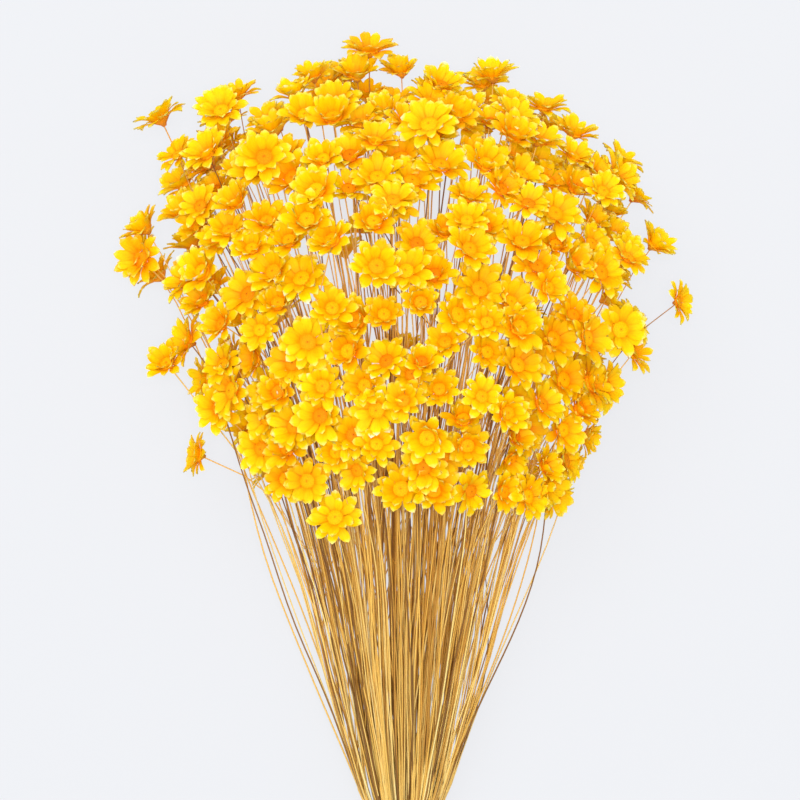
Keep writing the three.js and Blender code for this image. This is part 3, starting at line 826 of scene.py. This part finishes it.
def petal_paper():
    """Dry petals: papery and dull, orange where they are seated, partly their own tint and partly painted
    shade deep in the head, then a full yellow, and paler at the tip, partly their own tint and partly a
    painted highlight, with fine veins along them; some are paler and some more orange all over."""
    finish = Finish("petal_paper", roughness=0.65)
    # Along the petal: orange at the seat, partly tint and partly painted shade deep in the head; pale at the
    # tip, partly tint and partly a painted highlight.
    seat = [(0.0, (1.0, 0.33, 0.0)), (0.35, (1.0, 0.55, 0.0))]
    finish.shade(finish.length(), *seat, (0.8, (1.0, 0.68, 0.0)), (1.0, (1.0, 0.88, 0.14)))
    orange = [(0.0, (1.0, 0.8, 1.0)), (0.4, (1.0, 0.97, 1.0))]
    finish.shade(finish.tone(), *orange, (0.75, (1.0, 1.06, 1.6)), (1.0, (1.0, 1.18, 8.0)))
    veins = finish.noise(finish.skin(), (22, 1.6, 1))
    finish.shade(veins, (0.3, (0.93, 0.82, 0.8)), (0.7, (1.04, 1.07, 1.1)))
    finish.grain(veins, strength=0.25, depth=0.0001)
    finish.shader["Specular IOR Level"].default_value = 0.12
    finish.shader["Subsurface Weight"].default_value = 0.2
    finish.shader["Subsurface Radius"].default_value = (1.0, 0.8, 0.1)
    finish.shader["Subsurface Scale"].default_value = 0.001
    return finish.material


def heart_scales():
    """The cone's scales and the disc: tawny orange, darker on some heads and at the disc's middle, grained
    like seed."""
    finish = Finish("heart_scales", roughness=0.7)
    cone = [(0.0, (0.75, 0.33, 0.05)), (0.25, (0.95, 0.46, 0.02)), (0.55, (1.0, 0.46, 0.0))]
    disc = [(0.8, (1.0, 0.5, 0.0)), (0.87, (0.95, 0.4, 0.0)), (0.98, (0.4, 0.12, 0.0))]
    finish.shade(finish.length(), *cone, *disc)
    old = [(0.0, (0.78, 0.5, 0.6)), (0.3, (0.96, 0.82, 0.9))]
    finish.shade(finish.tone(), *old, (0.6, (1, 1, 1)), (1.0, (1, 1.12, 1)))
    seeds = finish.noise(finish.place(), (3200, 3200, 3200))
    finish.shade(seeds, (0.3, (0.8, 0.74, 0.7)), (0.7, (1.1, 1.12, 1.15)))
    finish.grain(seeds, strength=0.5, depth=0.0001)
    finish.shader["Specular IOR Level"].default_value = 0.12
    return finish.material


TABLE_EASE = 0.4


def above_table(points):
    """What would reach below the table is pressed flat on it: heights under TABLE_EASE shrink towards 0."""
    z = points[..., 2]
    points[..., 2] = np.where(z < TABLE_EASE, TABLE_EASE * np.exp(np.minimum(z / TABLE_EASE - 1, 0)), z)
    return points


face = unit(face + [0, 0, LIFT])
side = unit(np.cross(face, NO_FACE))
spin = np.array(crown.spin)[:, None]
side = np.cos(spin) * side + np.sin(spin) * np.cross(face, side)
petal_points, petal_uv, petal_tone = petals(foot, face, side, FULLER * radius, opening)
heart_points, heart_quads, heart_uv = hearts(foot, face, side, FULLER * radius)
petal_points, heart_points = above_table(petal_points), above_table(heart_points)
one_petal = petal_quads()
paper, scales = petal_paper(), heart_scales()
clump = np.array(crown.clump)
for number in range(len(crown.sizes)):
    own = np.nonzero(clump == number)[0]
    count = len(own) * petal_points.shape[1]
    quads = one_petal + np.arange(count)[:, None, None] * petal_points.shape[2]
    petal_part = (petal_points[own], quads, petal_uv[own], petal_tone[own], paper)
    quads = heart_quads + np.arange(len(own))[:, None, None] * heart_points.shape[1]
    uv = np.tile(heart_uv, (len(own), 1, 1))
    tones = np.repeat(spin[own] / tau, heart_points.shape[1])
    heart_part = (heart_points[own], quads, uv, tones, scales)
    name = f"{number + 1:02d}"
    make_object("flowers_" + name, [petal_part, heart_part], ["heads_" + name])


# The tie: four turns of soft three-ply twine wound tight round the stems, a flat knot on top and two short
# ends. It is guessed, because the photo ends above it.
TWINE = 2.0
TURNS = 4
TURN_STEPS = 60
PLY_TWIST = 7.0
PLY_AT, PLY_WIDTH = 0.27, 0.29
PLY_SIDES = 6
NO_TWINE = [0.2, 1.0, 0.1]  # a way that no twine runs
KNOT_LOOPS = 2.6
KNOT_STEPS = 70
KNOT_SIZE = np.array([2.08, 1.43, 0.9])
KNOT_UP = 0.4
KNOT_WEAVE = 1.5
END_STEPS = 60
TWINE_ENDS = [
    [(0.5, 0, 1.0), (4, 2.5, 1.6), (9, 7, 0.0), (12.5, 12.5, -3.2), (14, 20, -6)],
    [(-0.5, 0, 1.0), (-4.5, 1.5, 1.4), (-9.5, 2.6, -0.8), (-13.5, 0.5, -3.8), (-17, -5, -9)],
]


def wound():
    """The winding: a helix of TURNS turns, a twine's width apart, that lies on the tied stems."""
    turn = np.linspace(0, TURNS * tau, TURNS * TURN_STEPS)
    out = TIED + TWINE / 2
    return np.stack([out * np.sin(turn), (turn / tau - TURNS / 2) * TWINE, out * np.cos(turn)], -1)


def knotted():
    """The knot: an ellipse gone round KNOT_LOOPS times, which rises and sinks three times in two rounds."""
    turn = np.linspace(0, KNOT_LOOPS * tau, KNOT_STEPS)
    return KNOT_SIZE * np.stack([np.cos(turn), np.sin(turn), np.sin(KNOT_WEAVE * turn)], -1)


def arc_through(points, steps):
    """A smooth line through a few points: a cubic spline with slopes from the points beside each."""
    points = np.array(points, float)
    slopes = np.gradient(points, axis=0)
    t = np.linspace(0, len(points) - 1, steps)
    k = np.minimum(t.astype(int), len(points) - 2)
    s = (t - k)[:, None]
    a, b, da, db = points[k], points[k + 1], slopes[k], slopes[k + 1]
    return a * (1 + 2 * s) * (1 - s) ** 2 + b * s * s * (3 - 2 * s) + s * (1 - s) * (da * (1 - s) - db * s)


def plied(line, width):
    """A twine along a line: three thinner tubes that wind round it once in each PLY_TWIST of its length."""
    length = np.concatenate([[0], np.cumsum(np.linalg.norm(np.diff(line, axis=0), axis=1))])
    along = unit(np.gradient(line, axis=0))
    side = unit(np.cross(along, NO_TWINE))
    other = np.cross(along, side)
    turn = tau * (length / PLY_TWIST + np.arange(3)[:, None] / 3)[..., None]
    plies = line + PLY_AT * width * (np.cos(turn) * side + np.sin(turn) * other)
    return tubes(plies, np.full(plies.shape[:2], PLY_WIDTH * width), PLY_SIDES)


def twine_fibre():
    """Jute twine: dull tan, darkened between its fibres by painted shade; the fibres run along each ply."""
    finish = Finish("twine_fibre", roughness=0.9)
    fibres = finish.noise(finish.skin(), (12, 320, 1), detail=4, turn=0.15)
    # The dark end of this ramp is painted shade between the fibres; the lighter stops are the fibres' own
    # tan.
    finish.shade(fibres, (0.3, (0.16, 0.09, 0.035)), (0.55, (0.42, 0.27, 0.12)), (0.8, (0.62, 0.45, 0.24)))
    finish.grain(fibres, strength=0.7, depth=0.0002)
    return finish.material


on_top = np.array([0, 0, TIED + TWINE])
ends = [arc_through(np.array(points) + on_top, END_STEPS) for points in TWINE_ENDS]
jute = twine_fibre()
parts = []
for line in [wound(), knotted() + on_top + [0, 0, KNOT_UP], *ends]:
    points, quads, uv = plied(line + [0, 0, AXIS_LOW], TWINE)
    points[..., 2] = np.maximum(points[..., 2], 0)
    parts.append((points, quads, uv, uv[..., 0], jute))
make_object("twine_tie", parts, ["tie"])


# The studio: the bunch lies on a plain pale table that glows softly as a light table does, and the gaps
# between the flowers stay light. A small lamp by the camera, a broad one beyond the crown and a weak one on
# the other side shine on it, and the camera looks straight down.
TABLE_RADIUS, TABLE_SIDES = 8, 64
TABLE = (0.1, 0.102, 0.107)
MOTTLED = 0.99
GLOW = (0.95, 0.965, 1.0)
GLOW_STRENGTH = 0.76
LAMPS = [  # name, place, width and power
    ("front_lamp", (0, 0.05, 1.5), 0.2, 10),
    ("key_lamp", (-0.3, 0.7, 1.6), 1, 12),
    ("fill_lamp", (0.3, -0.5, 1.8), 1, 4),
]
DAYLIGHT = (0.94, 0.96, 1.0)
DAYLIGHT_STRENGTH = 0.55
CAMERA_AT = (-1.3, 153.6)
CAMERA_LEVEL = 54
CAMERA_ABOVE = 1102
LENS = 155
FILM = 36
FAR = 50


def table_paper():
    """The table: matt, pale and plain, with a faint and broad mottling, and glowing softly."""
    finish = Finish("table_paper", roughness=0.9)
    mottle = finish.noise(finish.place(), (0.2, 0.2, 0.2))
    finish.shade(mottle, (0.0, tuple(MOTTLED * c for c in TABLE)), (1.0, TABLE))
    finish.shader["Emission Color"].default_value = (*GLOW, 1)
    finish.shader["Emission Strength"].default_value = GLOW_STRENGTH
    return finish.material


bpy.ops.mesh.primitive_circle_add(
    vertices=TABLE_SIDES, radius=TABLE_RADIUS, fill_type="NGON", location=(0, 0, 0)
)
table = bpy.context.object
table.name = "table"
table.data.materials.append(table_paper())
for name, place, width, power in LAMPS:
    lamp_data = bpy.data.lights.new(name, "AREA")
    lamp_data.size = width
    lamp_data.energy = power
    lamp = bpy.data.objects.new(name, lamp_data)
    lamp.location = place
    lamp.rotation_euler = (-lamp.location).to_track_quat("-Z", "Y").to_euler()
    bpy.context.scene.collection.objects.link(lamp)
world = bpy.data.worlds.new("studio")
world.use_nodes = True
world.node_tree.nodes["Background"].inputs["Color"].default_value = (*DAYLIGHT, 1)
world.node_tree.nodes["Background"].inputs["Strength"].default_value = DAYLIGHT_STRENGTH
bpy.context.scene.world = world
bpy.context.scene.view_settings.view_transform = "Standard"
camera_data = bpy.data.cameras.new("camera")
camera_data.lens = LENS
camera_data.sensor_width = FILM
camera_data.clip_end = FAR
camera = bpy.data.objects.new("camera", camera_data)
camera.location = to_frame(np.array([*CAMERA_AT, CAMERA_LEVEL + CAMERA_ABOVE]))
bpy.context.scene.collection.objects.link(camera)
bpy.context.scene.camera = camera
